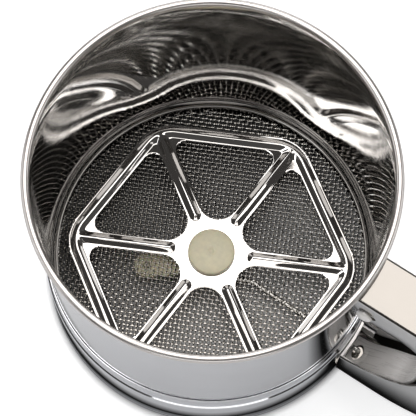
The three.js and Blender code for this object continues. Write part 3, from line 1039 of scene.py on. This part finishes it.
def finish_cad_nodes():
    """Gives the CAD nodes that are shown as they are their finish and smooth shading."""
    finishes = {
        "upper_bush": cream_nylon,
        "lower_bush": cream_nylon,
        "crank_arm": cream_nylon,
        "pivot_washer_left": cream_nylon,
        "pivot_washer_right": cream_nylon,
        "handle_top_saddle": plain_steel,
        "handle_foot_saddle": plain_steel,
        "pivot_pin_nut": plain_steel,
        "spindle": plain_steel,
        "spindle_nut": plain_steel,
        "return_spring": wire_steel,
    }
    for name, material in finishes.items():
        mesh = frame["nodes"][name].data
        mesh.materials.clear()
        mesh.materials.append(material)
        mesh.polygons.foreach_set("use_smooth", [True] * len(mesh.polygons))
        mesh.set_sharp_from_angle(angle=SHARP)


# ---- Stage ----
def computed(tree, operation, *values):
    """The result of one arithmetic operation on one or two node values."""
    node = tree.nodes.new("ShaderNodeMath")
    node.operation = operation
    for socket, value in zip(node.inputs, values):
        tree.links.new(value, socket)
    return node.outputs["Value"]


def measured(tree, operation, place, vector):
    """The distance of a place from a vector, or its dot product with it."""
    node = tree.nodes.new("ShaderNodeVectorMath")
    node.operation = operation
    node.inputs[1].default_value = vector
    tree.links.new(place, node.inputs[0])
    return node.outputs["Value"]


def floor_material():
    """A pale floor that glows a little to the camera. Shade is painted on it: reflections see it dark
    beside the foot and the handle, a thin ring of painted shadow hugs the foot, and beneath the sieve
    painted shade darkens it towards the back."""
    material, tree, shader = new_material("pale_floor")
    camera_ray = tree.nodes.new("ShaderNodeLightPath").outputs["Is Camera Ray"]
    place = tree.nodes.new("ShaderNodeTexCoord").outputs["Object"]
    from_cup = measured(tree, "DISTANCE", place, AXIS)
    split = tree.nodes.new("ShaderNodeSeparateXYZ")
    tree.links.new(place, split.inputs[0])
    from_arm = computed(tree, "ABSOLUTE", split.outputs["Y"])
    foot, arm = FOOT_OUTER * MM, HANDLE_HALF * MM  # the foot's radius, half the handle's width

    # Painted shade, seen only in reflections: the floor goes dark close beside the foot and beside the
    # handle's arm.
    around_foot = spread(tree, from_cup, 0, 1, foot + 1 * MM, foot + 3.2 * MM)
    beside_arm = spread(tree, from_arm, 0, 1, arm + 1 * MM, arm + 8 * MM)
    past_arm = spread(tree, split.outputs["X"], 0, 1, 68 * MM, 80 * MM)
    before_arm = spread(tree, split.outputs["X"], 1, 0, 0, 30 * MM)
    off_arm = computed(tree, "MAXIMUM", beside_arm, computed(tree, "MAXIMUM", past_arm, before_arm))
    painted_shade_in_reflections = computed(tree, "MULTIPLY", around_foot, off_arm)
    light = computed(tree, "MAXIMUM", painted_shade_in_reflections, camera_ray)

    # Painted shade beneath the sieve: inside the foot the floor darkens towards the back.
    to_front = (0.862, -0.506, 0)  # between the camera's side and the handle's
    forward = measured(tree, "DOT_PRODUCT", place, to_front)
    beneath = spread(tree, forward, 0.15, 1, -50 * MM, 20 * MM)
    outside = spread(tree, from_cup, 0, 1, foot - 1 * MM, foot)
    light = computed(tree, "MULTIPLY", light, computed(tree, "MAXIMUM", outside, beneath))
    # The floor's colour, near black where shade is painted.
    colour = tinted(tree, light, (0.02, 0.02, 0.02), (0.83, 0.84, 0.86))

    # Painted shadow: no glow in a thin ring against the foot, so the ring shows dark to the camera too.
    clear = spread(tree, from_cup, 0, 1, foot, foot + 2 * MM)
    # The floor glows strongly to the camera and faintly to everything else.
    strength = spread(tree, camera_ray, 0.06, 0.6, 0, 1)
    glow = computed(tree, "MULTIPLY", computed(tree, "MULTIPLY", clear, light), strength)

    tree.links.new(colour, shader.inputs["Base Color"])
    tree.links.new(glow, shader.inputs["Emission Strength"])
    shader.inputs["Emission Color"].default_value = (1, 1, 0.995, 1)
    shader.inputs["Roughness"].default_value = 0.8
    shader.inputs["Specular IOR Level"].default_value = 0.0
    return material


def floor():
    """A wide flat floor under the sifter."""
    half = 3.0  # metres
    mesh = bpy.data.meshes.new("floor")
    corners = [(-half, -half, 0), (half, -half, 0), (half, half, 0), (-half, half, 0)]
    mesh.from_pydata(corners, [], [(0, 1, 2, 3)])
    mesh.materials.append(floor_material())
    add_object("floor", mesh)


def panel(name, azimuth, elevation, distance, size, radiance, colour=(1, 1, 1)):
    """A rectangular light of even brightness that faces the cup; azimuth in degrees from the
    handle, distance and size in metres."""
    a, e = math.radians(azimuth), math.radians(elevation)
    towards = Vector((math.cos(a) * math.cos(e), math.sin(a) * math.cos(e), math.sin(e)))
    light = bpy.data.lights.new(name, "AREA")
    light.shape = "RECTANGLE"
    light.size, light.size_y = size
    light.energy = radiance * math.pi * size[0] * size[1]
    light.color = colour
    lamp = add_object(name, light)
    lamp.location = towards * distance + Vector(AXIS)
    lamp.rotation_mode = "QUATERNION"
    lamp.rotation_quaternion = (-towards).to_track_quat("-Z", "Y")


def lighting():
    """Studio light: a dim surround, a wide soft panel overhead, a small one to the side and four
    low ones around the floor."""
    warm = (1.0, 0.97, 0.94)
    world = bpy.data.worlds.new("studio")
    bpy.context.scene.world = world
    world.use_nodes = True
    background = world.node_tree.nodes["Background"]
    background.inputs["Color"].default_value = (*warm, 1)
    background.inputs["Strength"].default_value = 0.07
    panel("overhead", 123, 74, distance=1.4, size=(1.35, 1.25), radiance=2.6, colour=warm)
    panel("side", 250, 60, distance=1.2, size=(0.34, 0.34), radiance=3.0)
    for i in range(4):
        panel(f"low_{i}", 33 + 90 * i, 22, distance=1.3, size=(1.2, 0.5), radiance=1.5)


def camera():
    """Looks steeply down into the cup, with the handle towards the lower right."""
    azimuth, elevation, roll = (math.radians(a) for a in (33.0, 72.84, 0.383))
    distance = 466.12  # millimetres
    aim = Vector((3.60, -7.62, 84.22)) * MM + Vector(AXIS)  # near the rim's middle
    level = math.cos(elevation)
    back = Vector((math.sin(azimuth) * level, -math.cos(azimuth) * level, math.sin(elevation)))
    data = bpy.data.cameras.new("camera")
    data.lens = 151.44
    data.sensor_width = 36
    data.clip_start = 0.01
    view = add_object("camera", data)
    view.location = aim + back * distance * MM
    view.rotation_mode = "QUATERNION"
    view.rotation_quaternion = (-back).to_track_quat("-Z", "Y") @ Quaternion((0, 0, 1), roll)
    bpy.context.scene.camera = view


cup()
base_ring()
clamp_ring()
sieve()
wheel()
cap()
link()
handle()
trigger()
pin()
finish_cad_nodes()
floor()
lighting()
camera()

scene = bpy.context.scene
scene.view_settings.view_transform = "Standard"
scene.cycles.max_bounces = 16  # polished steel mirrors itself many times
scene.cycles.glossy_bounces = 12
scene.cycles.caustics_reflective = True
